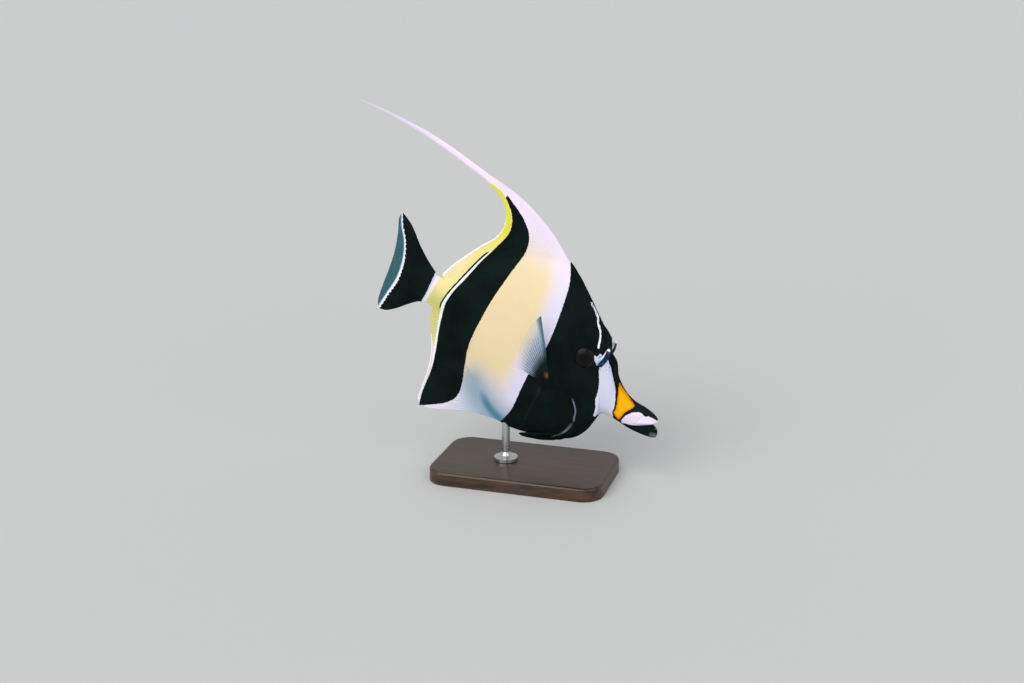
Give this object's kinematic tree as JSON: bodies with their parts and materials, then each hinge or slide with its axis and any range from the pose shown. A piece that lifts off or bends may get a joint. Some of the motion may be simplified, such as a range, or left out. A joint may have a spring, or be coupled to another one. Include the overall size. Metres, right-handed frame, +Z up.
{
  "type": "moorish idol fish figure",
  "caption": "Moorish idol as a life-size still display figure, nose down with its long dorsal filament trailing, on a rod over a flat base.",
  "frame": {"origin": "middle of the underside of the stand's base, under the fish", "axes": "+X towards the fish's snout, +Y towards its left, +Z up"},
  "size_m": [0.184, 0.062, 0.2135],
  "materials": {
    "black_skin": "satin skin",
    "pale_skin": "satin skin",
    "yellow_skin": "satin skin",
    "pale_fin": "satin membrane",
    "black_fin": "satin membrane",
    "clear_fin": "translucent membrane",
    "eye": "wet gloss",
    "horn": "satin",
    "base_wood": "satin dark stain",
    "rod_metal": "brushed"
  },
  "bodies": {
    "root": {"head": "black_skin", "lower_jaw": "black_skin", "torso": "pale_skin", "tail": "yellow_skin", "dorsal_fin_front": "pale_fin", "dorsal_fin_rear": "pale_fin", "dorsal_filament": "pale_fin", "anal_fin": "black_fin", "caudal_fin": "black_fin", "pectoral_fin_left": "clear_fin", "pectoral_fin_right": "clear_fin", "pelvic_fin_left": "black_fin", "pelvic_fin_right": "black_fin", "eye_left": "eye", "eye_right": "eye", "horn_left": "horn", "horn_right": "horn", "stand_base": "base_wood", "stand_rod": "rod_metal"}
  },
  "joints": []
}
